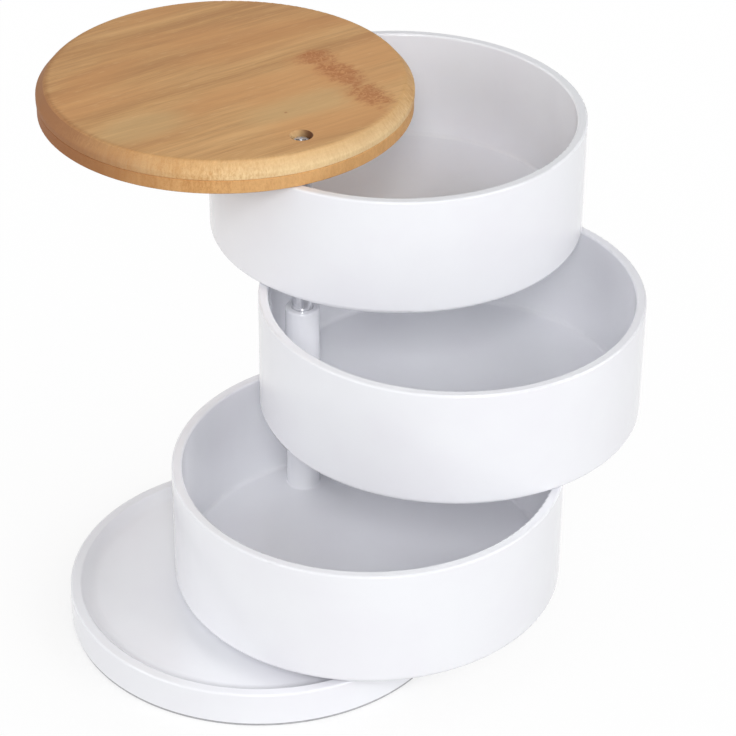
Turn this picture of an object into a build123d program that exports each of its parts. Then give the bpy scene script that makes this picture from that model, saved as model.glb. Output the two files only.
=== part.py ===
"""Round makeup organizer: three swivel trays and a bamboo lid on one upright axle over a dish base.

Millimetres, +Z up. The origin is on the axle's centre line, on the surface that the base stands on.
The pieces lie as they do with every tray swung out: each disc's middle is seen from the axle at its
own angle, counted anticlockwise from +X.
"""
import os
from math import cos, radians, sin

from build123d import *

# Discs: base, trays and lid share one outline and one distance from the axle
disc_radius = 70.0
axle_inset = 15.0
wall = 3.7
rim_round = 0.8

# Where each disc is swung to, in degrees
base_angle = 255.8
bottom_angle = -63.6
middle_angle = -8.9
top_angle = 51.5
lid_angle = 121.8

# Base, from the table up: anti-slip pad, closing plate, dish shell
pad_thickness = 0.8
pad_inset = 0.4
base_height = 12.8
dish_depth = 3.5
dish_floor = 2.8
dish_side_run = 3.0
dish_corner = 7.0
base_edge = 0.5
plate_thickness = 2.4
plate_clearance = 0.2
rib_width = 1.6
rib_count = 8
rib_hub_radius = 12.0
boss_radius = 8.8

# Trays
tray_height = 45.4
tray_floor = 2.0
tray_corner = 1.5
tray_edge = 2.0
tray_gap = 0.65
base_gap = 2.4
column_radius = 6.3
column_below_rim = 12.0
column_foot = 0.7
column_round = 0.8
column_mouth = 0.3

# Pivot: a fixed rod with a collar, and a steel tube in each tray's column that turns on it
rod_radius = 3.0
collar_radius = 6.0
collar_height = 1.4
tube_radius = 3.85
running_clearance = 0.05
fit_clearance = 0.03
end_play = 0.05
washer_thickness = 0.5
washer_bore_clearance = 0.1

# Lid: two bamboo plies, glued, on a flanged bush
lid_inset = 0.4
lid_gap = 0.4
lower_ply_inset = 0.2
lower_ply_thickness = 5.2
upper_ply_thickness = 6.4
lid_bevel = 3.2
bevel_drop = 3.8
bevel_round = 1.2
ply_chamfer = 0.4
lid_hole_radius = 4.2
bush_clearance = 0.1
bush_flange_radius = 6.5
bush_flange_height = 1.0
bush_flange_clearance = 0.1
bush_below_top = 5.6

# Screws and washers at both ends of the rod
screw_radius = 2.0
screw_length = 9.0
thread_clearance = 0.02
screw_bore_clearance = 0.2
thread_depth = 11.0
head_radius = 3.2
head_height = 2.0
head_round = 0.8
cross_width = 0.9
cross_length = 3.8
cross_depth = 1.2
spring_washer_radius = 3.4
spring_washer_height = 0.9
spring_washer_slot = 0.6
lid_washer_clearance = 0.3
lid_washer_thickness = 0.8
base_washer_radius = 7.0
base_washer_thickness = 0.9
pocket_clearance = 0.3
web_thickness = 1.6

# Discs, worked out from their outline
axle_offset = disc_radius - axle_inset
inner_radius = disc_radius - wall
lid_radius = disc_radius - lid_inset

# Levels, worked out from the table up
base_bottom = pad_thickness
base_top = base_bottom + base_height
dish_level = base_top - dish_depth
plate_top = base_bottom + plate_thickness
bottom_level = base_top + base_gap
middle_level = bottom_level + tray_height + tray_gap
top_level = middle_level + tray_height + tray_gap
lid_level = top_level + tray_height + lid_gap
ply_joint = lid_level + lower_ply_thickness
lid_top = ply_joint + upper_ply_thickness
collar_top = bottom_level - washer_thickness - 2 * end_play
boss_top = collar_top - collar_height
bush_top = lid_top - bush_below_top
rod_top = bush_top + end_play
turning_bore = rod_radius + running_clearance
tube_length = tray_height + tray_gap - washer_thickness - 2 * end_play
lid_tube_length = tray_height + lid_gap - washer_thickness - 2 * end_play
washer_bore = rod_radius + washer_bore_clearance
screw_bore = screw_radius + screw_bore_clearance
bush_radius = lid_hole_radius - bush_clearance
lid_washer_radius = lid_hole_radius - lid_washer_clearance

# Below the boss: the screw's pocket, then the web that the rod's foot stands on
pocket_depth = head_height + spring_washer_height + base_washer_thickness + pocket_clearance
web_bottom = plate_top + pocket_depth
rod_foot = web_bottom + web_thickness


def disc_plane(angle, level):
    """Level plane on a disc's middle, with X pointing away from the axle."""
    across = (cos(radians(angle)), sin(radians(angle)), 0)
    return Plane(origin=(axle_offset * across[0], axle_offset * across[1], level), x_dir=across)


def export(part, name):
    """Label a finished piece and write its file."""
    part.part.label = name
    export_step(part.part, f"parts/{name}.step")


def ring(level, outer, bore, height):
    """Flat ring round the axle."""
    with BuildPart() as piece:
        with BuildSketch(Plane.XY.offset(level)):
            Circle(outer)
            Circle(bore, mode=Mode.SUBTRACT)
        extrude(amount=height)
    return piece


def tray(angle, level):
    """Round tray with a flat floor and a bored column for the axle."""
    floor_plane = disc_plane(angle, level)
    top_of_floor = floor_plane.offset(tray_floor)
    column_height = tray_height - tray_floor - column_below_rim
    with BuildPart() as piece:
        with BuildSketch(floor_plane):
            Circle(disc_radius)
        extrude(amount=tray_height)
        fillet(piece.edges().group_by(Axis.Z)[0], radius=tray_edge)
        with BuildSketch(top_of_floor):
            Circle(inner_radius)
        extrude(amount=tray_height - tray_floor, mode=Mode.SUBTRACT)
        fillet(piece.edges().filter_by_position(Axis.Z, top_of_floor.origin.Z, top_of_floor.origin.Z),
               radius=tray_corner)
        fillet(piece.edges().group_by(Axis.Z)[-1], radius=rim_round)

        # Column on the axle's line
        with BuildSketch(top_of_floor):
            with Locations((-axle_offset, 0)):
                Circle(column_radius)
        extrude(amount=column_height)
        column_top = level + tray_floor + column_height
        column_rim = piece.edges().filter_by_position(Axis.Z, column_top, column_top)
        fillet(column_rim, radius=column_round)
        foot = piece.edges().filter_by(GeomType.CIRCLE).filter_by_position(
            Axis.Z, top_of_floor.origin.Z, top_of_floor.origin.Z).sort_by(SortBy.LENGTH)[0]
        fillet(foot, radius=column_foot)

        # Bore for the tube, opened out at the column's mouth
        with BuildSketch(Plane.XY.offset(level)):
            Circle(tube_radius + fit_clearance)
        extrude(amount=tray_height, mode=Mode.SUBTRACT)
        mouth = piece.edges().filter_by(GeomType.CIRCLE).filter_by_position(
            Axis.Z, column_top, column_top).sort_by(SortBy.LENGTH)[0]
        chamfer(mouth, length=column_mouth)
    return piece


def pivot_tube(level, length):
    """Steel tube that lines a column and stands above it, to carry the next tray."""
    return ring(level, tube_radius, turning_bore, length)


def pan_head_screw(seat, points_up):
    """Cross-recess screw. Its head's flat face is at seat, and its shank runs up or down from there."""
    turn = 1 if points_up else -1
    shank_plane = Plane(origin=(0, 0, seat), z_dir=(0, 0, turn))
    head_plane = Plane(origin=(0, 0, seat), z_dir=(0, 0, -turn))
    with BuildPart() as piece:
        with BuildSketch(head_plane):
            Circle(head_radius)
        extrude(amount=head_height)
        crown = piece.faces().sort_by(Axis((0, 0, 0), (0, 0, -turn)))[-1]
        fillet(crown.edges(), radius=head_round)
        with BuildSketch(head_plane.offset(head_height - cross_depth)):
            Rectangle(cross_length, cross_width)
            Rectangle(cross_width, cross_length)
        extrude(amount=cross_depth, mode=Mode.SUBTRACT)
        with BuildSketch(shank_plane):
            Circle(screw_radius)
        extrude(amount=screw_length)
    return piece


def spring_washer(level):
    """Split ring that keeps a screw from working loose."""
    with BuildPart() as piece:
        with BuildSketch(Plane.XY.offset(level)):
            Circle(spring_washer_radius)
            Circle(screw_bore, mode=Mode.SUBTRACT)
            with Locations((spring_washer_radius, 0)):
                Rectangle(2 * spring_washer_radius, spring_washer_slot, mode=Mode.SUBTRACT)
        extrude(amount=spring_washer_height)
    return piece


os.makedirs("parts", exist_ok=True)

# Base dish: a shell with a shallow, soft-sided dish on top, a hollow with ribs below and the axle's boss
with BuildPart() as base_dish:
    with BuildSketch(disc_plane(base_angle, base_bottom)):
        Circle(disc_radius)
    extrude(amount=base_height)
    with Locations(disc_plane(base_angle, dish_level)):
        Cone(inner_radius - dish_side_run, inner_radius, dish_depth,
             align=(Align.CENTER, Align.CENTER, Align.MIN), mode=Mode.SUBTRACT)
    fillet(base_dish.edges().filter_by_position(Axis.Z, dish_level, dish_level), radius=dish_corner)
    fillet(base_dish.edges().group_by(Axis.Z)[-1], radius=rim_round)
    fillet(base_dish.edges().group_by(Axis.Z)[0], radius=base_edge)

    # Hollow: a seat for the plate, then the cells between the ribs
    with BuildSketch(disc_plane(base_angle, base_bottom)):
        Circle(inner_radius)
    extrude(amount=plate_thickness, mode=Mode.SUBTRACT)
    with BuildSketch(disc_plane(base_angle, plate_top)):
        Circle(inner_radius - wall)
        Circle(rib_hub_radius, mode=Mode.SUBTRACT)
        with PolarLocations(disc_radius / 2, rib_count):
            Rectangle(disc_radius, rib_width, mode=Mode.SUBTRACT)
        with Locations((-axle_offset, 0)):
            Circle(boss_radius, mode=Mode.SUBTRACT)
    extrude(amount=dish_level - dish_floor - plate_top, mode=Mode.SUBTRACT)

    # Boss: it rises through the dish to the rod's collar
    with BuildSketch(Plane.XY.offset(dish_level)):
        Circle(boss_radius)
    extrude(amount=boss_top - dish_level)

    # The rod's seat from above, the screw's pocket from below, and the screw's hole between them
    with BuildSketch(Plane.XY.offset(rod_foot)):
        Circle(rod_radius + fit_clearance)
    extrude(amount=boss_top - rod_foot, mode=Mode.SUBTRACT)
    with BuildSketch(Plane.XY.offset(plate_top)):
        Circle(base_washer_radius + pocket_clearance)
    extrude(amount=pocket_depth, mode=Mode.SUBTRACT)
    with BuildSketch(Plane.XY.offset(web_bottom)):
        Circle(screw_bore)
    extrude(amount=web_thickness, mode=Mode.SUBTRACT)
export(base_dish, "base_dish")

# Plate that closes the base from below
with BuildPart() as base_plate:
    with BuildSketch(disc_plane(base_angle, base_bottom)):
        Circle(inner_radius - plate_clearance)
    extrude(amount=plate_thickness)
export(base_plate, "base_plate")

# Anti-slip pad: it covers the seam between the plate and the shell's wall
with BuildPart() as anti_slip_pad:
    with BuildSketch(disc_plane(base_angle, 0)):
        Circle(disc_radius - pad_inset)
    extrude(amount=pad_thickness)
export(anti_slip_pad, "anti_slip_pad")

# Axle rod, with its collar on the boss and a threaded hole in each end
with BuildPart() as axle_rod:
    with BuildSketch(Plane.XY.offset(rod_foot)):
        Circle(rod_radius)
    extrude(amount=rod_top - rod_foot)
    with BuildSketch(Plane.XY.offset(boss_top)):
        Circle(collar_radius)
    extrude(amount=collar_height)
    for end, inward in ((rod_foot, 1), (rod_top, -1)):
        with BuildSketch(Plane(origin=(0, 0, end), z_dir=(0, 0, inward))):
            Circle(screw_radius + thread_clearance)
        extrude(amount=thread_depth, mode=Mode.SUBTRACT)
export(axle_rod, "axle_rod")

# Below the web: wide washer, spring washer and screw
base_washer_level = web_bottom - base_washer_thickness
base_spring_level = base_washer_level - spring_washer_height
export(ring(base_washer_level, base_washer_radius, screw_bore, base_washer_thickness), "base_washer")
export(spring_washer(base_spring_level), "base_spring_washer")
export(pan_head_screw(base_spring_level, True), "base_screw")

# Friction washers: one under each tray's tube and one under the lid's bush
with BuildPart() as friction_washers:
    for seat in (bottom_level, middle_level, top_level, lid_level):
        with BuildSketch(Plane.XY.offset(seat - washer_thickness - end_play)):
            Circle(tube_radius)
            Circle(washer_bore, mode=Mode.SUBTRACT)
        extrude(amount=washer_thickness)
export(friction_washers, "friction_washers")

# Trays and their tubes
export(tray(bottom_angle, bottom_level), "bottom_tray")
export(tray(middle_angle, middle_level), "middle_tray")
export(tray(top_angle, top_level), "top_tray")
export(pivot_tube(bottom_level, tube_length), "bottom_tray_tube")
export(pivot_tube(middle_level, tube_length), "middle_tray_tube")
export(pivot_tube(top_level, lid_tube_length), "top_tray_tube")

# Lid: the lower ply takes the bush's flange, and the upper ply has the bevelled top edge
with BuildPart() as lid_lower_ply:
    with BuildSketch(disc_plane(lid_angle, lid_level)):
        Circle(lid_radius - lower_ply_inset)
    extrude(amount=lower_ply_thickness)
    chamfer(lid_lower_ply.edges().filter_by(GeomType.CIRCLE), length=ply_chamfer)
    with BuildSketch(Plane.XY.offset(lid_level)):
        Circle(lid_hole_radius)
    extrude(amount=lower_ply_thickness, mode=Mode.SUBTRACT)
    with BuildSketch(Plane.XY.offset(lid_level)):
        Circle(bush_flange_radius + bush_flange_clearance)
    extrude(amount=bush_flange_height, mode=Mode.SUBTRACT)
export(lid_lower_ply, "lid_lower_ply")

with BuildPart() as lid_upper_ply:
    with BuildSketch(disc_plane(lid_angle, ply_joint)):
        Circle(lid_radius)
    extrude(amount=upper_ply_thickness)
    chamfer(lid_upper_ply.edges().group_by(Axis.Z)[0], length=ply_chamfer)
    chamfer(lid_upper_ply.edges().group_by(Axis.Z)[-1], length=lid_bevel, length2=bevel_drop,
            reference=lid_upper_ply.faces().sort_by(Axis.Z)[-1])
    fillet(lid_upper_ply.edges().group_by(Axis.Z)[-1], radius=bevel_round)
    fillet(lid_upper_ply.edges().filter_by_position(Axis.Z, lid_top - bevel_drop, lid_top - bevel_drop),
           radius=bevel_round)
    with BuildSketch(Plane.XY.offset(ply_joint)):
        Circle(lid_hole_radius)
    extrude(amount=upper_ply_thickness, mode=Mode.SUBTRACT)
export(lid_upper_ply, "lid_upper_ply")

with BuildPart() as lid_bush:
    with BuildSketch(Plane.XY.offset(lid_level)):
        Circle(bush_flange_radius)
    extrude(amount=bush_flange_height)
    with BuildSketch(Plane.XY.offset(lid_level)):
        Circle(bush_radius)
    extrude(amount=bush_top - lid_level)
    with BuildSketch(Plane.XY.offset(lid_level)):
        Circle(turning_bore)
    extrude(amount=bush_top - lid_level, mode=Mode.SUBTRACT)
export(lid_bush, "lid_bush")

# In the lid's hole: washer on the rod's end, spring washer and screw
lid_spring_level = rod_top + lid_washer_thickness
export(ring(rod_top, lid_washer_radius, screw_bore, lid_washer_thickness), "lid_washer")
export(spring_washer(lid_spring_level), "lid_spring_washer")
export(pan_head_screw(lid_spring_level + spring_washer_height, False), "lid_screw")
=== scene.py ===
"""Looks of the round makeup organizer with swivel trays: finishes, camera, light and floor.

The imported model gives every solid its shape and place. This script dresses each of them, adds the
ribbed anti-slip pad, and sets up the camera and a plain studio. Lengths are metres unless a name or
a docstring says millimetres.
"""

from __future__ import annotations

import logging
import math
from dataclasses import dataclass, field
from enum import Enum

import bpy
from mathutils import Matrix, Vector

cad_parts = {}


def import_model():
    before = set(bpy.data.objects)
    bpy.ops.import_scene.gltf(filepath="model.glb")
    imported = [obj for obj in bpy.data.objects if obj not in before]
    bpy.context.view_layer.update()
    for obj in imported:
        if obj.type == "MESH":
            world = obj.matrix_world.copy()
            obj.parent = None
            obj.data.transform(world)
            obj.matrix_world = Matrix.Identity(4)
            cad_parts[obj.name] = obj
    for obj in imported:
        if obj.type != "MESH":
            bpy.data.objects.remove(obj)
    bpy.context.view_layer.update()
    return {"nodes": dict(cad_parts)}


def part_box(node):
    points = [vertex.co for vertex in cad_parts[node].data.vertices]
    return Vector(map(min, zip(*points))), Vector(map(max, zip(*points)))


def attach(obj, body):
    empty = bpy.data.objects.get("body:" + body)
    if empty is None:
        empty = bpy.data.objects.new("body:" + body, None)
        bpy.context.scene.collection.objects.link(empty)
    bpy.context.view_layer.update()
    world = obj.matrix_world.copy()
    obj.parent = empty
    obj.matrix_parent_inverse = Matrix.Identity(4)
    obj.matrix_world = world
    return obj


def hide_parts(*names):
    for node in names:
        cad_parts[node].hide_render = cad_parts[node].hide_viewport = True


LOG = logging.getLogger("organizer")

MM = 0.001
"""One millimetre in metres."""

PER_MM = 1000.0
"""Scale that turns metres into millimetres, for patterns that are sized in millimetres."""

Socket = bpy.types.NodeSocket
Triple = tuple[float, float, float]
Span = tuple[float, float]


def srgb(red: int, green: int, blue: int) -> Triple:
    """Turn a screen colour into the linear colour that shaders use.

    Args:
        red: Red, 0 to 255.
        green: Green, 0 to 255.
        blue: Blue, 0 to 255.

    Returns:
        The linear red, green and blue.
    """

    def linear(level: int) -> float:
        """Linear value of one screen level."""
        share = level / 255
        return share / 12.92 if share <= 0.04045 else ((share + 0.055) / 1.055) ** 2.4

    return linear(red), linear(green), linear(blue)


def toned(colour: Triple, factor: float) -> Triple:
    """Make a colour darker or lighter by a factor."""
    red, green, blue = (min(1.0, factor * part) for part in colour)
    return red, green, blue


def even(number: float) -> Triple:
    """Repeat a number for all three axes."""
    return number, number, number


class Wiring:
    """Adds linked nodes to one node tree."""

    def __init__(self, tree: bpy.types.NodeTree) -> None:
        """Empty the tree, to fill it anew.

        Args:
            tree: The tree of a material, a world or a modifier.
        """
        self.tree = tree
        tree.nodes.clear()

    def feed(self, socket: Socket, value: object) -> None:
        """Link a socket to an output, or set it to a plain value.

        Args:
            socket: The input that is fed.
            value: Another node's output, a number, a tuple or a material.
        """
        if isinstance(value, bpy.types.NodeSocket):
            self.tree.links.new(value, socket)
        elif socket.type == "RGBA" and len(value) == 3:
            socket.default_value = (*value, 1.0)
        else:
            socket.default_value = value

    def node(self, kind: str, feeds: dict[str | int, object] | None = None,
             **settings: object) -> bpy.types.Node:
        """Add a node, set its options and feed its inputs.

        Args:
            kind: Blender's name for the node's type.
            feeds: What goes into which input, by the input's name or number.
            **settings: Properties of the node.

        Returns:
            The new node.
        """
        made = self.tree.nodes.new(kind)
        for key, value in settings.items():
            setattr(made, key, value)
        for key, value in (feeds or {}).items():
            self.feed(made.inputs[key], value)
        return made

    def math(self, operation: str, first: object, second: object = 0.0, third: object = 0.0) -> Socket:
        """Work out a number from up to three others.

        Args:
            operation: The Math node's operation.
            first: First operand.
            second: Second operand, where the operation has one.
            third: Third operand, where the operation has one.

        Returns:
            The result's output.
        """
        return self.node("ShaderNodeMath", {0: first, 1: second, 2: third}, operation=operation).outputs[0]

    def whole(self, first: object, second: object, third: object) -> Socket:
        """Join three numbers into a vector."""
        return self.node("ShaderNodeCombineXYZ", {0: first, 1: second, 2: third}).outputs[0]


class Pen(Wiring):
    """Writes the node tree of one material."""

    def __init__(self, name: str) -> None:
        """Start an empty material.

        Args:
            name: The material's name.
        """
        self.material = bpy.data.materials.new(name)
        self.material.use_nodes = True
        super().__init__(self.material.node_tree)

    def ease(self, value: object, low: float, high: float) -> Socket:
        """Rise smoothly from 0 at low to 1 at high.

        Args:
            value: The number that is eased.
            low: Where the result leaves 0.
            high: Where the result reaches 1.

        Returns:
            The eased number's output.
        """
        made = self.node("ShaderNodeMapRange", {"Value": value, "From Min": low, "From Max": high},
                         interpolation_type="SMOOTHSTEP")
        return made.outputs["Result"]

    def weighed(self, *terms: tuple[object, object]) -> Socket:
        """Add up numbers, each times its weight.

        Args:
            *terms: Pairs of a number and its weight.

        Returns:
            The sum's output.
        """
        total: object = 0.0
        for value, weight in terms:
            total = self.math("MULTIPLY_ADD", value, weight, total)
        return total

    def vector(self, operation: str, first: object, second: object = (0.0, 0.0, 0.0)) -> bpy.types.Node:
        """Work on one or two vectors.

        Args:
            operation: The Vector Math node's operation.
            first: First vector.
            second: Second vector, where the operation has one.

        Returns:
            The node, because some operations end in a number and some in a vector.
        """
        return self.node("ShaderNodeVectorMath", {0: first, 1: second}, operation=operation)

    def scaled(self, vector: Socket, scale: Triple) -> Socket:
        """Scale a vector part by part."""
        return self.vector("MULTIPLY", vector, scale).outputs[0]

    def length(self, vector: Socket) -> Socket:
        """Length of a vector."""
        return self.vector("LENGTH", vector).outputs["Value"]

    def parts(self, vector: Socket) -> tuple[Socket, Socket, Socket]:
        """Split a vector into its three numbers."""
        made = self.node("ShaderNodeSeparateXYZ", {0: vector})
        return made.outputs[0], made.outputs[1], made.outputs[2]

    def blend(self, share: object, first: object, second: object) -> Socket:
        """Mix two colours.

        Args:
            share: How much of the second colour shows.
            first: First colour.
            second: Second colour.

        Returns:
            The mixed colour's output.
        """
        return self.node("ShaderNodeMix", {0: share, 6: first, 7: second}, data_type="RGBA").outputs[2]

    def glaze(self, under: object, over: object, signal: Socket, share: object) -> Socket:
        """Lay a colour over another one where a signal says.

        Args:
            under: The colour so far.
            over: The colour laid on it.
            signal: Where it lies, 0 to 1.
            share: How strong it is where the signal is 1.

        Returns:
            The mixed colour's output.
        """
        return self.blend(self.math("MULTIPLY", signal, share), under, over)

    def bump(self, height: Socket, strength: float, depth: float, under: Socket | None = None) -> Socket:
        """Tilt the surface by a height pattern.

        Args:
            height: The pattern.
            strength: How much of the tilt is used.
            depth: Height of a full step, in millimetres.
            under: Another bump's output that this one lies on.

        Returns:
            The tilted normal's output.
        """
        made = self.node("ShaderNodeBump", {"Height": height, "Strength": strength, "Distance": depth * MM})
        if under is not None:
            self.feed(made.inputs["Normal"], under)
        return made.outputs["Normal"]

    def millimetres(self, turn: float = 0.0, centre: Vector | None = None) -> Socket:
        """Object coordinates in millimetres, turned and centred for a pattern.

        Args:
            turn: Angle in radians from +X to the pattern's own first axis.
            centre: Where the pattern's origin lies, in metres.

        Returns:
            The coordinates' output.
        """
        back = Matrix.Rotation(-turn, 3, "Z")
        shift = -(back @ (centre or Vector((0, 0, 0)))) * PER_MM
        source = self.node("ShaderNodeTexCoord")
        made = self.node("ShaderNodeMapping", {
            "Vector": source.outputs["Object"],
            "Location": tuple(shift),
            "Rotation": (0.0, 0.0, -turn),
            "Scale": even(PER_MM),
        })
        return made.outputs[0]

    def surface(self, **inputs: object) -> bpy.types.Material:
        """End the tree in a Principled shader.

        Args:
            **inputs: The shader's inputs, with _ for a space in their names.

        Returns:
            The finished material.
        """
        feeds = {key.replace("_", " "): value for key, value in inputs.items()}
        shader = self.node("ShaderNodeBsdfPrincipled", feeds)
        self.node("ShaderNodeOutputMaterial", {"Surface": shader.outputs[0]})
        return self.material


@dataclass(frozen=True)
class Noise:
    """One layer of smooth noise around 0.5.

    The scale counts bumps for each millimetre along the three axes. The weight says how strongly the
    layer shows, and its signal rises from 0 to 1 over the span.
    """

    scale: Triple
    detail: float = 2.0
    rough: float = 0.5
    weight: float = 1.0
    span: Span = (0.3, 0.7)
    distortion: float = 0.0

    def read(self, pen: Pen, place: Socket) -> Socket:
        """Value of the layer at a place.

        Args:
            pen: The material's pen.
            place: The place, in millimetres.

        Returns:
            The value's output.
        """
        made = pen.node("ShaderNodeTexNoise", {
            "Vector": pen.scaled(place, self.scale),
            "Scale": 1.0,
            "Detail": self.detail,
            "Roughness": self.rough,
            "Distortion": self.distortion,
        })
        return made.outputs["Fac"]

    def signal(self, pen: Pen, place: Socket) -> Socket:
        """Value of the layer, eased over its span."""
        return pen.ease(self.read(pen, place), *self.span)


@dataclass(frozen=True)
class MouldedPlastic:
    """Glossy white injection-moulded plastic, with the faint unevenness of a moulded skin."""

    name: str = "white_moulded_plastic"
    colour: Triple = srgb(249, 250, 254)
    shade: Triple = srgb(247, 247, 252)
    gloss: float = 0.13
    dull: float = 0.19
    index: float = 1.49
    clouds: Noise = Noise(even(0.03), 3.0, span=(0.35, 0.7))
    flow: Noise = Noise((0.09, 0.09, 0.0225))
    peel: Noise = Noise(even(0.5), weight=0.1)
    peel_depth: float = 0.02

    def material(self) -> bpy.types.Material:
        """Build the material: cloudy tint, uneven gloss and a fine orange-peel skin.

        Returns:
            The material.
        """
        pen = Pen(self.name)
        place = pen.millimetres()
        tint = pen.blend(self.clouds.signal(pen, place), self.colour, self.shade)
        haze = pen.math("MULTIPLY_ADD", self.flow.signal(pen, place), self.dull - self.gloss, self.gloss)
        skin = pen.bump(self.peel.read(pen, place), self.peel.weight, self.peel_depth)
        return pen.surface(Base_Color=tint, Roughness=haze, IOR=self.index, Normal=skin)


@dataclass(frozen=True)
class TurnedMetal:
    """Bare or plated metal with fine rings left by the lathe."""

    name: str
    colour: Triple
    rough: float
    worn: float = 0.1
    dimmed: float = 0.9
    rings: Noise = Noise((0.15, 0.15, 6.0), weight=0.3)
    ring_depth: float = 0.004
    clouds: Noise = Noise(even(0.45), 3.0)

    def material(self) -> bpy.types.Material:
        """Build the material: rings along the height, and light cloudy wear in the gloss.

        Returns:
            The material.
        """
        pen = Pen(self.name)
        place = pen.millimetres()
        clouds = self.clouds.read(pen, place)
        rough = pen.math("MULTIPLY_ADD", clouds, self.worn, self.rough - self.worn / 2)
        tint = pen.blend(pen.ease(clouds, *self.clouds.span), self.colour, toned(self.colour, self.dimmed))
        skin = pen.bump(self.rings.read(pen, place), self.rings.weight, self.ring_depth)
        return pen.surface(Base_Color=tint, Metallic=1.0, Roughness=rough, Normal=skin)


@dataclass(frozen=True)
class SoftPolymer:
    """Dull plastic or rubber with a fine grain."""

    name: str
    colour: Triple
    rough: float
    worn: float = 0.12
    deep: float = 0.85
    bright: float = 1.1
    tone_span: Span = (0.3, 0.7)
    grain: Noise = Noise(even(1.5), 3.0, 0.65, weight=0.6)
    grain_strength: float = 0.4
    grain_depth: float = 0.05
    patches: Noise = Noise(even(0.08), weight=0.4)

    def material(self) -> bpy.types.Material:
        """Build the material: fine grain in colour, gloss and relief.

        Returns:
            The material.
        """
        pen = Pen(self.name)
        place = pen.millimetres()
        grain = self.grain.read(pen, place)
        amount = pen.weighed((grain, self.grain.weight), (self.patches.read(pen, place), self.patches.weight))
        tint = pen.blend(pen.ease(amount, *self.tone_span), toned(self.colour, self.deep),
                         toned(self.colour, self.bright))
        rough = pen.math("MULTIPLY_ADD", grain, self.worn, self.rough - self.worn / 2)
        skin = pen.bump(grain, self.grain_strength, self.grain_depth)
        return pen.surface(Base_Color=tint, Roughness=rough, Normal=skin)


class PlyGrain(Enum):
    """Which way a ply's fibres run, in degrees from +X at rest."""

    ALONG = 35.0
    ACROSS = 125.0


@dataclass(frozen=True)
class Spot:
    """An oval place on the board, in millimetres from its middle, along and across the fibres."""

    along: float
    across: float
    half_length: float
    half_width: float

    def cover(self, pen: Pen, along: Socket, across: Socket, ragged: object = 0.0,
              soft: float = 0.5) -> Socket:
        """Signal that is 1 inside the spot and 0 outside.

        Args:
            pen: The material's pen.
            along: Distance along the fibres.
            across: Distance across the fibres.
            ragged: What is added to the distance from the middle, so that the outline frays.
            soft: Width of the spot's blurred rim, as a share of its size.

        Returns:
            The signal's output.
        """
        first = pen.math("MULTIPLY_ADD", along, 1 / self.half_length, -self.along / self.half_length)
        second = pen.math("MULTIPLY_ADD", across, 1 / self.half_width, -self.across / self.half_width)
        reach = pen.math("ADD", pen.length(pen.whole(first, second, 0.0)), ragged)
        return pen.math("SUBTRACT", 1.0, pen.ease(reach, 1.0 - soft, 1.0 + soft))


@dataclass(frozen=True)
class EdgeSignals:
    """What a board's material takes from its cut edge: where it lies, how far its tone covers, and so on."""

    where: Socket
    cover: Socket
    tone: Socket
    relief: Socket


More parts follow.
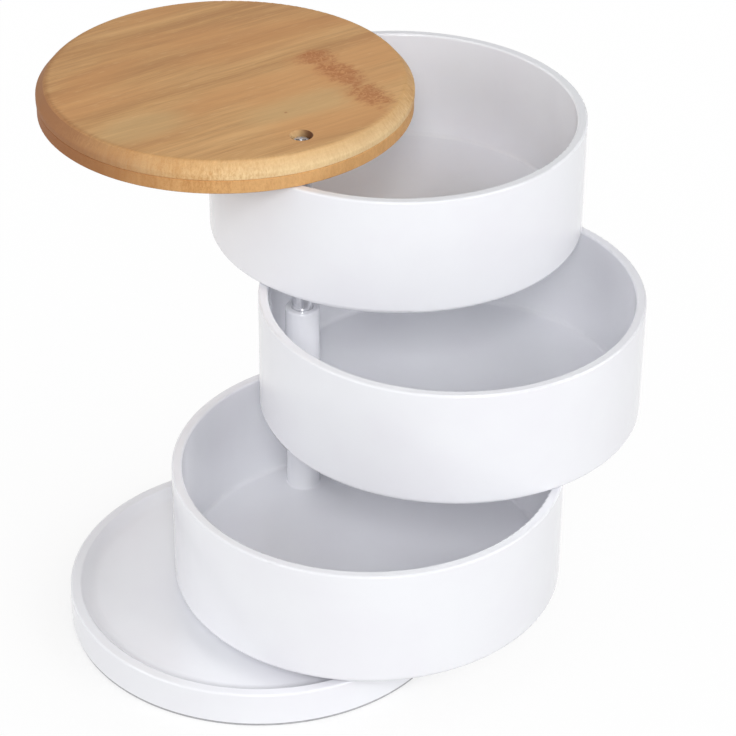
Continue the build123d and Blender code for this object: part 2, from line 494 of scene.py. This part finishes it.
@dataclass(frozen=True)
class CutEdge:
    """Wood where the bevel and the rim cut through it: combed, with open pores.

    It carries painted light: a painted highlight on one side of the board and painted shade on the other. The
    sides are angles in degrees from +X at rest, and lengths are millimetres. A span gives the two values at
    which a signal leaves 0 and reaches 1, and a fray says how much the comb breaks up its border.
    """

    light: Triple = srgb(238, 201, 147)
    dark: Triple = srgb(204, 152, 93)
    tone_span: Span = (0.85, 1.95)
    # Painted highlight: colour laid on the side of the edge that the light falls on
    pale: Triple = srgb(250, 228, 180)
    painted_light_side: float = 310.0
    painted_light_span: Span = (0.8, 1.1)
    painted_light_share: float = 0.5
    # Painted shade: colour laid on the side of the edge that lies away from the light
    shade: Triple = srgb(152, 102, 64)
    painted_shade_side: float = 192.0
    painted_shade_span: Span = (0.35, 1.1)
    painted_shade_share: float = 0.9
    side_fray: float = 0.25
    waves: Noise = Noise(even(0.09), weight=0.8)
    comb: Noise = Noise((1.6, 1.6, 0.8), 2.0, 0.6, weight=1.3)
    strokes: Noise = Noise((0.7, 0.7, 0.084), 1.0, weight=0.7)
    pore: Triple = srgb(170, 88, 16)
    pore_scale: float = 1.5
    pore_span: Span = (0.1, 0.34)
    pore_share: float = 0.3
    level_span: Span = (0.7, 0.99)
    level_shift: float = 0.1
    level_fray: float = 0.2
    worn_span: Span = (4.2, 1.2)
    worn_fray: float = 3.0
    worn_share: float = 0.75
    rise: Span = (-1.5, 3.4)
    low_share: float = 0.95
    rise_loss: float = 0.5
    comb_relief: float = 0.8
    pore_relief: float = -0.5

    def signals(self, pen: Pen, place: Socket, turn: float, radius: float) -> EdgeSignals:
        """Find the edge, and build its colour, with its painted highlight and painted shade, and its relief.

        Args:
            pen: The material's pen.
            place: The board's coordinates, counted from its middle.
            turn: Direction of the fibres, in degrees.
            radius: The board's radius.

        Returns:
            The edge's signals.
        """
        height = pen.parts(place)[2]
        flat = pen.scaled(place, (1.0, 1.0, 0.0))
        outward = pen.vector("NORMALIZE", flat).outputs[0]
        x, y, _ = pen.parts(pen.scaled(outward, even(radius)))
        rim = pen.whole(x, y, height)
        comb = self.comb.read(pen, rim)
        pores = self._pores(pen, rim)

        amount = pen.weighed((self.waves.read(pen, rim), self.waves.weight), (comb, self.comb.weight),
                             (self.strokes.read(pen, rim), self.strokes.weight))
        tone = pen.blend(pen.ease(amount, *self.tone_span), self.dark, self.light)
        tone = pen.glaze(tone, self.pore, pores, self.pore_share)
        # Painted highlight on one side of the edge and painted shade on the other
        pale = self._side(pen, outward, comb, self.painted_light_side - turn, self.painted_light_span)
        shade = self._side(pen, outward, comb, self.painted_shade_side - turn, self.painted_shade_span)
        tone = pen.glaze(tone, self.pale, pale, self.painted_light_share)
        tone = pen.blend(shade, tone, self.shade)

        edge = self._where(pen, pen.length(flat), comb, radius)
        lower = pen.math("MULTIPLY_ADD", pen.ease(height, *self.rise), -self.rise_loss, self.low_share)
        # The edge's tone covers more where the painted shade lies
        lower = pen.math("MAXIMUM", lower, pen.math("MULTIPLY", shade, self.painted_shade_share))
        grit = pen.weighed((comb, self.comb_relief), (pores, self.pore_relief))
        return EdgeSignals(edge, pen.math("MULTIPLY", edge, lower), tone, pen.math("MULTIPLY", grit, edge))

    def _pores(self, pen: Pen, rim: Socket) -> Socket:
        """Signal that is 1 in the open pores.

        Args:
            pen: The material's pen.
            rim: Place on the rim.

        Returns:
            The signal's output.
        """
        cells = pen.node("ShaderNodeTexVoronoi", {"Vector": rim, "Scale": self.pore_scale})
        return pen.math("SUBTRACT", 1.0, pen.ease(cells.outputs["Distance"], *self.pore_span))

    def _side(self, pen: Pen, outward: Socket, comb: Socket, degrees: float, span: Span) -> Socket:
        """Signal that is 1 on one side of the board and fades around its rim.

        Args:
            pen: The material's pen.
            outward: Direction from the board's middle.
            comb: The comb's value, which frays the signal.
            degrees: The side's angle from the fibres.
            span: Cosines of the angle from that side, where the signal leaves 0 and where it reaches 1.

        Returns:
            The signal's output.
        """
        angle = math.radians(degrees)
        toward = pen.vector("DOT_PRODUCT", outward, (math.cos(angle), math.sin(angle), 0.0))
        return pen.ease(pen.math("MULTIPLY_ADD", comb, self.side_fray, toward.outputs["Value"]), *span)

    def _where(self, pen: Pen, reach: Socket, comb: Socket, radius: float) -> Socket:
        """Signal that is 1 where the surface isn't level, and on the worn strip beside the bevel.

        Args:
            pen: The material's pen.
            reach: Distance from the board's middle.
            comb: The comb's value, which frays the signal.
            radius: The board's radius.

        Returns:
            The signal's output.
        """
        facing = pen.node("ShaderNodeNewGeometry")
        level = pen.math("ABSOLUTE", pen.parts(facing.outputs["Normal"])[2])
        level = pen.math("MULTIPLY_ADD", comb, self.level_fray, pen.math("SUBTRACT", level, self.level_shift))
        edge = pen.math("SUBTRACT", 1.0, pen.ease(level, *self.level_span))
        start, end = self.worn_span
        worn = pen.ease(pen.math("MULTIPLY_ADD", comb, self.worn_fray, reach), radius - start, radius - end)
        return pen.math("MAXIMUM", edge, pen.math("MULTIPLY", worn, self.worn_share))


@dataclass(frozen=True)
class DrilledHole:
    """Wall of the hole on the axle, with painted shade that darkens one side of it. Lengths are millimetres.
    """

    hole_shade: Triple = srgb(84, 38, 6)
    radius: float = 4.2
    wall: float = 0.25
    shaded_side: Span = (-2.4, 3.4)
    share: float = 0.92

    def lay(self, pen: Pen, colour: Socket) -> Socket:
        """Paint shade on one side of the wall.

        Args:
            pen: The material's pen.
            colour: The board's colour so far.

        Returns:
            The colour with painted shade on the wall.
        """
        place = pen.scaled(pen.millimetres(), (1.0, 1.0, 0.0))
        reach = pen.ease(pen.length(place), self.radius, self.radius + self.wall)
        # Painted shade: the wall darkens toward +X inside the hole
        side = pen.ease(pen.parts(place)[0], *self.shaded_side)
        inside = pen.math("MULTIPLY", pen.math("SUBTRACT", 1.0, reach), side)
        return pen.glaze(colour, self.hole_shade, inside, self.share)


@dataclass(frozen=True)
class StemJoint:
    """Brown, scaly mark where the bamboo's stem had a joint. Lengths are millimetres."""

    colour: Triple
    spots: tuple[Spot, ...] = ()
    fray: Noise = Noise((0.15, 0.4, 0.3), 3.0, 0.65, weight=1.8)
    soft: float = 0.45
    halo_shift: float = 3.5
    halo_soft: float = 0.8
    halo_share: float = 0.6
    scales: Noise = Noise(even(0.5), 2.5, weight=0.46, span=(0.34, 0.6), distortion=1.4)
    least: float = 0.22

    def lay(self, pen: Pen, colour: Socket, place: Socket, halo_colour: Triple) -> Socket:
        """Lay the mark on the board.

        Args:
            pen: The material's pen.
            colour: The board's colour so far.
            place: The board's coordinates.
            halo_colour: Colour of the faint stain around the mark.

        Returns:
            The colour with the mark on it.
        """
        along, across, _ = pen.parts(place)
        frayed = pen.math("MULTIPLY_ADD", self.fray.read(pen, place), self.fray.weight, -self.fray.weight / 2)
        beside = pen.math("ADD", along, self.halo_shift)
        cover: object = 0.0
        halo: object = 0.0
        for spot in self.spots:
            cover = pen.math("MAXIMUM", cover, spot.cover(pen, along, across, frayed, self.soft))
            halo = pen.math("MAXIMUM", halo, spot.cover(pen, beside, across, frayed, self.halo_soft))
        colour = pen.glaze(colour, halo_colour, halo, self.halo_share)
        deep = pen.math("MULTIPLY_ADD", self.scales.signal(pen, place), self.scales.weight, self.least)
        return pen.glaze(colour, self.colour, cover, deep)


@dataclass(frozen=True)
class Bamboo:
    """Laminated bamboo board: glued strips, fibre streaks, a joint of the stem and cut edges, with painted
    reflections, a painted highlight and painted shade.

    Sizes are in millimetres. Places on the board are counted from its middle: along the fibres, then
    across them.
    """

    name: str
    grain: PlyGrain
    middle: Vector
    radius: float
    edge: CutEdge = CutEdge()
    hole: DrilledHole = DrilledHole()
    light: Triple = srgb(230, 181, 120)
    dark: Triple = srgb(188, 134, 77)
    warm: Triple = srgb(216, 153, 92)
    # Painted reflection: colour of the lighter patches on the face
    pale: Triple = srgb(214, 180, 124)
    mark: Triple = srgb(170, 88, 16)
    sway: Noise = Noise((0.011, 0.02, 0.0), 1.0, weight=7.0)
    broad: Noise = Noise((0.009, 0.085, 0.085), 2.0, 0.55, weight=1.5)
    streak: Noise = Noise((0.022, 0.55, 0.55), 3.0, 0.6, weight=1.15)
    fibre: Noise = Noise((0.08, 2.4, 2.4), 2.0, 0.6, weight=0.85)
    fleck: Noise = Noise((0.16, 1.4, 1.4), 1.0, weight=0.25, span=(0.64, 0.76))
    warmth: Noise = Noise((0.014, 0.04, 0.04), 1.0, weight=0.5, span=(0.4, 0.62))
    tone_span: Span = (1.05, 2.35)
    strip_width: float = 24.5
    strip_start: float = -26.0
    strip_weight: float = 0.16
    seam_width: float = 0.035
    seam_weight: float = -0.25
    # Painted shade: the face darkens across the fibres toward its far side
    far_shade_span: Span = (-42.0, 62.0)
    far_shade_weight: float = -0.4
    joint_spots: tuple[Spot, ...] = ()
    # Painted reflection: lighter patches where a soft highlight lies on the face
    painted_reflection_spots: tuple[Spot, ...] = ()
    painted_light_share: float = 0.5
    speck: Spot | None = None
    speck_share: float = 0.55
    index: float = 1.45
    gloss: float = 0.38
    streak_haze: float = 0.16
    edge_haze: float = 0.22
    fibre_relief: float = 0.6
    streak_relief: float = 0.4
    relief: float = 0.3
    relief_depth: float = 0.05
    grit: float = 0.35
    grit_depth: float = 0.08

    def material(self) -> bpy.types.Material:
        """Build the material from the fibres' solid pattern and the look of the cut edge.

        Returns:
            The material.
        """
        pen = Pen(self.name)
        place = pen.millimetres(math.radians(self.grain.value), self.middle)
        along, across, height = pen.parts(place)

        # Fibres wander a little to the side as they run
        aside = pen.math("MULTIPLY_ADD", self.sway.read(pen, place), self.sway.weight, across)
        fibres = pen.whole(along, aside, height)
        broad = self.broad.read(pen, fibres)
        streak = self.streak.read(pen, fibres)
        fibre = self.fibre.read(pen, fibres)

        colour = self._strips(pen, broad, streak, fibre, across)
        colour = pen.glaze(colour, self.warm, self.warmth.signal(pen, fibres), self.warmth.weight)
        # Painted reflection: lighter patches on the face
        for spot in self.painted_reflection_spots:
            cover = spot.cover(pen, along, across, pen.math("SUBTRACT", broad, 0.5))
            colour = pen.glaze(colour, self.pale, cover, self.painted_light_share)
        colour = pen.glaze(colour, self.edge.light, self.fleck.signal(pen, fibres), self.fleck.weight)
        if self.joint_spots:
            colour = StemJoint(self.mark, self.joint_spots).lay(pen, colour, place, self.warm)
        if self.speck is not None:
            colour = pen.glaze(colour, self.mark, self.speck.cover(pen, along, across), self.speck_share)
        edge = self.edge.signals(pen, place, self.grain.value, self.radius)
        colour = pen.blend(edge.cover, colour, edge.tone)
        # Painted shade on one side of the hole's wall
        colour = self.hole.lay(pen, colour)

        relief = pen.weighed((fibre, self.fibre_relief), (streak, self.streak_relief))
        normal = pen.bump(relief, self.relief, self.relief_depth)
        normal = pen.bump(edge.relief, self.grit, self.grit_depth, normal)
        rough = pen.math("MULTIPLY_ADD", streak, self.streak_haze, self.gloss)
        rough = pen.math("MULTIPLY_ADD", edge.where, self.edge_haze, rough)
        return pen.surface(Base_Color=colour, Roughness=rough, IOR=self.index, Normal=normal)

    def _strips(self, pen: Pen, broad: Socket, streak: Socket, fibre: Socket, across: Socket) -> Socket:
        """Colour the board's strips, which differ a little in tone, with a thin dark line between them and
        painted shade toward the far side of the face.

        Args:
            pen: The material's pen.
            broad: Wide bands along the fibres.
            streak: Narrow streaks along the fibres.
            fibre: Single fibres.
            across: Distance across the fibres.

        Returns:
            The strips' colour.
        """
        strips = pen.math("DIVIDE", pen.math("SUBTRACT", across, self.strip_start), self.strip_width)
        number = pen.math("FLOOR", strips)
        chance = pen.node("ShaderNodeTexWhiteNoise", noise_dimensions="1D")
        pen.feed(chance.inputs["W"], number)
        inside = pen.math("SUBTRACT", strips, number)
        border = pen.math("MINIMUM", inside, pen.math("SUBTRACT", 1.0, inside))
        seam = pen.math("SUBTRACT", 1.0, pen.ease(border, 0.0, self.seam_width))
        amount = pen.weighed(
            (broad, self.broad.weight),
            (streak, self.streak.weight),
            (fibre, self.fibre.weight),
            (chance.outputs["Value"], self.strip_weight),
            # Painted shade toward the far side of the face
            (pen.ease(across, *self.far_shade_span), self.far_shade_weight),
            (pen.math("MULTIPLY", seam, streak), self.seam_weight),
        )
        return pen.blend(pen.ease(amount, *self.tone_span), self.dark, self.light)


def dress(node: bpy.types.Object, material: bpy.types.Material) -> None:
    """Put one material on a carried-over solid.

    Args:
        node: The solid's object.
        material: Its finish.
    """
    slots = node.material_slots
    if not slots:
        node.data.materials.append(material)
    for slot in slots:
        slot.material = material
    LOG.info("%s: %s", node.name, material.name)


@dataclass
class RibbedPad:
    """Anti-slip pad under the base: a thin rubber disc on rings of small ribs."""

    sheet: float = 0.45 * MM
    rib_width: float = 1.1 * MM
    rib_pitch: float = 3.4 * MM
    segments: int = 160

    def tree(self, material: bpy.types.Material, sizes: dict[str, float]) -> bpy.types.NodeTree:
        """Build the node tree that makes the disc and repeats the rib ring.

        Args:
            material: The rubber.
            sizes: Outer radius, height, sheet, rib width and rib pitch by name, in that order. Only
                the names are used here.

        Returns:
            The tree, with one input for each size and the pad as its output.
        """
        tree = bpy.data.node_groups.new("ribbed_pad_tree", "GeometryNodeTree")
        tree.interface.new_socket("Geometry", in_out="OUTPUT", socket_type="NodeSocketGeometry")
        for name in sizes:
            tree.interface.new_socket(name, in_out="INPUT", socket_type="NodeSocketFloat")
        wiring = Wiring(tree)
        start = wiring.node("NodeGroupInput")
        outer, height, sheet, rib_width, rib_pitch = (start.outputs[name] for name in sizes)

        # Sheet: a flat cylinder that hangs from the top face
        disc = wiring.node("GeometryNodeMeshCylinder", {
            "Vertices": self.segments,
            "Radius": outer,
            "Depth": sheet,
        })
        lift = wiring.math("SUBTRACT", height, wiring.math("MULTIPLY", sheet, 0.5))
        hung = wiring.node("GeometryNodeTransform", {
            "Geometry": disc.outputs["Mesh"],
            "Translation": wiring.whole(0.0, 0.0, lift),
        })

        # Ribs: one circle for each pitch of the radius, swept with a flat-footed profile
        count = wiring.math("FLOOR", wiring.math("DIVIDE", outer, rib_pitch))
        line = wiring.node("GeometryNodeMeshLine", {"Count": count, "Offset": even(0.0)})
        circle = wiring.node("GeometryNodeCurvePrimitiveCircle", {"Resolution": self.segments, "Radius": 1.0})
        index = wiring.node("GeometryNodeInputIndex")
        radius = wiring.math("SUBTRACT", outer, wiring.math("MULTIPLY", index.outputs[0], rib_pitch))
        radius = wiring.math("SUBTRACT", radius, wiring.math("MULTIPLY", rib_width, 0.5))
        rings = wiring.node("GeometryNodeInstanceOnPoints", {
            "Points": line.outputs[0],
            "Instance": circle.outputs[0],
            "Scale": wiring.whole(radius, radius, radius),
        })
        real = wiring.node("GeometryNodeRealizeInstances", {0: rings.outputs[0]})
        rib_height = wiring.math("SUBTRACT", height, sheet)
        profile = wiring.node("GeometryNodeCurvePrimitiveQuadrilateral", {
            "Width": rib_width,
            "Height": rib_height,
        })
        sweep = wiring.node("GeometryNodeCurveToMesh", {
            "Curve": real.outputs[0],
            "Profile Curve": profile.outputs[0],
        })
        standing = wiring.node("GeometryNodeTransform", {
            "Geometry": sweep.outputs[0],
            "Translation": wiring.whole(0.0, 0.0, wiring.math("MULTIPLY", rib_height, 0.5)),
        })

        join = wiring.node("GeometryNodeJoinGeometry")
        for part in (hung, standing):
            wiring.feed(join.inputs[0], part.outputs[0])
        last = wiring.node("GeometryNodeRealizeInstances", {0: join.outputs[0]})
        coat = wiring.node("GeometryNodeSetMaterial", {"Geometry": last.outputs[0], "Material": material})
        wiring.node("NodeGroupOutput", {0: coat.outputs[0]})
        return tree

    def build(self, material: bpy.types.Material) -> bpy.types.Object:
        """Make the pad as a plain mesh in the place of its solid.

        Args:
            material: The rubber.

        Returns:
            The pad's object.
        """
        low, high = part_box("anti_slip_pad")
        sizes = {
            "Outer": (high.x - low.x) / 2,
            "Height": high.z - low.z,
            "Sheet": self.sheet,
            "Rib Width": self.rib_width,
            "Rib Pitch": self.rib_pitch,
        }
        maker = bpy.data.objects.new("pad_maker", bpy.data.meshes.new("pad_maker"))
        bpy.context.scene.collection.objects.link(maker)
        step = maker.modifiers.new("ribs", "NODES")
        step.node_group = self.tree(material, sizes)
        for item in step.node_group.interface.items_tree:
            if item.name in sizes:
                step[item.identifier] = sizes[item.name]
        graph = bpy.context.evaluated_depsgraph_get()
        mesh = bpy.data.meshes.new_from_object(maker.evaluated_get(graph))
        bpy.data.objects.remove(maker)
        mesh.transform(Matrix.Translation(((low.x + high.x) / 2, (low.y + high.y) / 2, low.z)))
        pad = bpy.data.objects.new("ribbed_pad", mesh)
        bpy.context.scene.collection.objects.link(pad)
        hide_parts("anti_slip_pad")
        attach(pad, "base")
        LOG.info("%s: %d faces", pad.name, len(mesh.polygons))
        return pad


@dataclass
class DishBase:
    """The shallow dish that everything stands on, with its closing plate and pad."""

    plastic: bpy.types.Material
    pad: RibbedPad = field(default_factory=RibbedPad)
    rubber: SoftPolymer = SoftPolymer("grey_foam_rubber", srgb(178, 178, 181), 0.8)

    def build(self, nodes: dict[str, bpy.types.Object]) -> None:
        """Dress the shell and the plate, and lay the ribbed pad under them.

        Args:
            nodes: The frame's solids by name.
        """
        for name in ("base_dish", "base_plate"):
            dress(nodes[name], self.plastic)
        rubber = self.rubber.material()
        dress(nodes["anti_slip_pad"], rubber)
        self.pad.build(rubber)


@dataclass
class Axle:
    """The rod in the middle of the swivel, and the screws and washers at its ends."""

    rod: TurnedMetal = TurnedMetal("turned_steel", srgb(176, 176, 178), 0.3)
    zinc: TurnedMetal = TurnedMetal("zinc_plate", srgb(205, 205, 208), 0.38)
    nylon: SoftPolymer = SoftPolymer("natural_nylon", srgb(232, 230, 222), 0.5)

    def build(self, nodes: dict[str, bpy.types.Object]) -> None:
        """Dress the rod, the fasteners and the friction washers.

        Args:
            nodes: The frame's solids by name.
        """
        dress(nodes["axle_rod"], self.rod.material())
        zinc = self.zinc.material()
        for end in ("base", "lid"):
            for piece in ("washer", "spring_washer", "screw"):
                dress(nodes[f"{end}_{piece}"], zinc)
        dress(nodes["friction_washers"], self.nylon.material())


@dataclass
class SwivelTray:
    """One open round tray and the bright tube in its column."""

    name: str
    plastic: bpy.types.Material
    chrome: bpy.types.Material

    def build(self, nodes: dict[str, bpy.types.Object]) -> None:
        """Dress the tray and its tube."""
        dress(nodes[self.name], self.plastic)
        dress(nodes[f"{self.name}_tube"], self.chrome)


@dataclass
class BambooLid:
    """The flat lid: two bamboo plies and the bush that it turns on."""

    bush: SoftPolymer = SoftPolymer("white_acetal", srgb(236, 236, 234), 0.4)
    # Lower ply's edge, with its own painted highlight and painted shade colours
    lower_edge: CutEdge = CutEdge(light=srgb(230, 180, 120), dark=srgb(194, 138, 78),
                                  pale=srgb(220, 172, 114), shade=srgb(146, 92, 50))
    joint_spots: tuple[Spot, ...] = (
        Spot(36.6, -5.4, 7.6, 5.2),
        Spot(36.4, -21.0, 5.8, 13.5),
        Spot(35.6, -42.0, 6.0, 10.5),
    )
    # Painted reflection: lighter patches on the upper ply's face
    painted_reflection_spots: tuple[Spot, ...] = (
        Spot(14.0, -36.0, 26.0, 9.0),
        Spot(-47.0, -18.0, 16.0, 9.0),
    )
    speck: Spot = Spot(2.1, -37.2, 0.6, 0.5)

    def build(self, nodes: dict[str, bpy.types.Object]) -> None:
        """Dress the plies, with the fibres of one across those of the other, and the bush.

        Args:
            nodes: The frame's solids by name.
        """
        low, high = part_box("lid_upper_ply")
        middle = (low + high) / 2
        radius = (high.x - low.x) / 2 * PER_MM
        upper = Bamboo("bamboo_upper_ply", PlyGrain.ALONG, middle, radius, joint_spots=self.joint_spots,
                       painted_reflection_spots=self.painted_reflection_spots, speck=self.speck)
        lower = Bamboo("bamboo_lower_ply", PlyGrain.ACROSS, middle, radius, self.lower_edge)
        dress(nodes["lid_upper_ply"], upper.material())
        dress(nodes["lid_lower_ply"], lower.material())
        dress(nodes["lid_bush"], self.bush.material())


@dataclass
class PhotoCamera:
    """The photograph's viewpoint, fitted to the rims of the trays."""

    target: Vector = field(default_factory=lambda: Vector((0.024215, 0.0, 0.068826)))
    distance: float = 0.973927
    pitch_deg: float = 32.3583
    roll_deg: float = -0.48255
    lens_mm: float = 128.302
    sensor_mm: float = 36.0
    nearest: float = 0.05

    def build(self) -> bpy.types.Object:
        """Create the camera and make it the scene's own.

        Returns:
            The camera.
        """
        pitch = math.radians(self.pitch_deg)
        roll = math.radians(self.roll_deg)
        forward = Vector((0.0, math.cos(pitch), -math.sin(pitch)))
        right = Vector((1.0, 0.0, 0.0))
        up = Vector((0.0, math.sin(pitch), math.cos(pitch)))
        image_right = right * math.cos(roll) - up * math.sin(roll)
        image_up = right * math.sin(roll) + up * math.cos(roll)
        data = bpy.data.cameras.new("photo_camera")
        data.lens = self.lens_mm
        data.sensor_width = self.sensor_mm
        data.clip_start = self.nearest
        camera = bpy.data.objects.new("photo_camera", data)
        turn = Matrix((image_right, image_up, -forward)).transposed().to_4x4()
        camera.matrix_world = Matrix.Translation(self.target - forward * self.distance) @ turn
        bpy.context.scene.collection.objects.link(camera)
        bpy.context.scene.camera = camera
        return camera


@dataclass(frozen=True)
class Softbox:
    """One large soft lamp that faces the object."""

    name: str
    place: Triple
    width: float
    height: float
    power: float

    def build(self, aim: Vector) -> None:
        """Place the lamp and turn it to the aim.

        Args:
            aim: The point that it faces.
        """
        lamp = bpy.data.lights.new(self.name, "AREA")
        lamp.shape = "RECTANGLE"
        lamp.size = self.width
        lamp.size_y = self.height
        lamp.energy = self.power
        holder = bpy.data.objects.new(self.name, lamp)
        holder.location = self.place
        holder.rotation_euler = (aim - Vector(self.place)).to_track_quat("-Z", "Y").to_euler()
        bpy.context.scene.collection.objects.link(holder)
        LOG.info("lamp %s: %.1f W", self.name, self.power)


@dataclass
class Studio:
    """White floor and surroundings, with soft lamps."""

    floor_size: float = 8.0
    floor_white: float = 0.72
    paint_reach: float = 3.0 * MM
    paint_start: float = 7.0 * MM
    surround: float = 0.265
    aim: Vector = field(default_factory=lambda: Vector((0.02, 0.0, 0.08)))
    lamps: tuple[Softbox, ...] = (
        Softbox("by_camera", (0.02, -1.78, 1.37), 0.5, 0.9, 18.9),
        Softbox("left", (-1.71, -1.0, 1.01), 1.2, 1.2, 10.2),
        Softbox("back_left", (-1.82, 0.49, 1.18), 1.8, 1.8, 8.8),
        Softbox("right", (1.75, -1.0, 1.01), 1.2, 1.2, 18.7),
    )

    def build(self) -> None:
        """Build the floor, the surroundings and the lamps."""
        bpy.context.scene.view_settings.view_transform = "Standard"
        self._floor()
        self._surroundings()
        for lamp in self.lamps:
            lamp.build(self.aim)

    @staticmethod
    def _seen(wiring: Wiring, otherwise: float) -> tuple[Socket, Socket]:
        """Tell rays from the eye, from gloss and through glass from the rays that carry light.

        Args:
            wiring: The tree that gets the nodes.
            otherwise: White level for the rays that carry light. The others see full white.

        Returns:
            Signal that is 1 for the first kind of ray, and the white level.
        """
        path = wiring.node("ShaderNodeLightPath")
        seen = path.outputs["Is Camera Ray"]
        for ray in ("Is Glossy Ray", "Is Transmission Ray"):
            seen = wiring.math("MAXIMUM", seen, path.outputs[ray])
        level = wiring.node("ShaderNodeMapRange", {"Value": seen, "To Min": otherwise, "To Max": 1.0})
        return seen, level.outputs["Result"]

    def _floor(self) -> None:
        """Lay a pale floor that shows white and keeps a soft shadow."""
        half = self.floor_size / 2
        corner_points = [(-half, -half, 0), (half, -half, 0), (half, half, 0), (-half, half, 0)]
        mesh = bpy.data.meshes.new("floor")
        mesh.from_pydata(corner_points, [], [(0, 1, 2, 3)])
        floor = bpy.data.objects.new("floor", mesh)
        bpy.context.scene.collection.objects.link(floor)
        pen = Pen("pale_floor")
        seen, white = self._seen(pen, self.floor_white)
        paint = pen.node("ShaderNodeBsdfDiffuse", {"Color": white})
        glow = pen.node("ShaderNodeEmission")
        share = pen.math("MULTIPLY", seen, self._past_foot(pen))
        mix = pen.node("ShaderNodeMixShader", {0: share, 1: paint.outputs[0], 2: glow.outputs[0]})
        pen.node("ShaderNodeOutputMaterial", {"Surface": mix.outputs[0]})
        mesh.materials.append(pen.material)

    def _past_foot(self, pen: Pen) -> Socket:
        """Signal that nears 1 away from the object's foot, where the floor is plain white.

        Args:
            pen: The floor's pen.

        Returns:
            The signal's output.
        """
        low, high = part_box("anti_slip_pad")
        middle = (low + high) / 2
        source = pen.node("ShaderNodeTexCoord")
        far = pen.vector("DISTANCE", source.outputs["Object"], (middle.x, middle.y, 0.0)).outputs["Value"]
        beyond = pen.math("SUBTRACT", far, (high.x - low.x) / 2 - self.paint_start)
        painted = pen.math("DIVIDE", self.paint_reach, pen.math("MAXIMUM", beyond, self.paint_start))
        return pen.math("SUBTRACT", 1.0, painted)

    def _surroundings(self) -> None:
        """Surround the scene with white, dimmer for the light that it gives."""
        world = bpy.data.worlds.new("white_surroundings")
        world.use_nodes = True
        bpy.context.scene.world = world
        wiring = Wiring(world.node_tree)
        _, level = self._seen(wiring, self.surround)
        back = wiring.node("ShaderNodeBackground", {"Strength": level})
        wiring.node("ShaderNodeOutputWorld", {"Surface": back.outputs[0]})


def main() -> None:
    """Load the frame, dress it, and set up the camera and the studio."""
    logging.basicConfig(level=logging.INFO, format="%(name)s %(message)s")
    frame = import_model()
    nodes = frame["nodes"]
    PhotoCamera().build()
    Studio().build()
    plastic = MouldedPlastic().material()
    chrome = TurnedMetal("bright_chrome", srgb(242, 242, 244), 0.09).material()
    DishBase(plastic).build(nodes)
    Axle().build(nodes)
    for name in ("bottom_tray", "middle_tray", "top_tray"):
        SwivelTray(name, plastic, chrome).build(nodes)
    BambooLid().build(nodes)


if __name__ == "__main__":
    main()
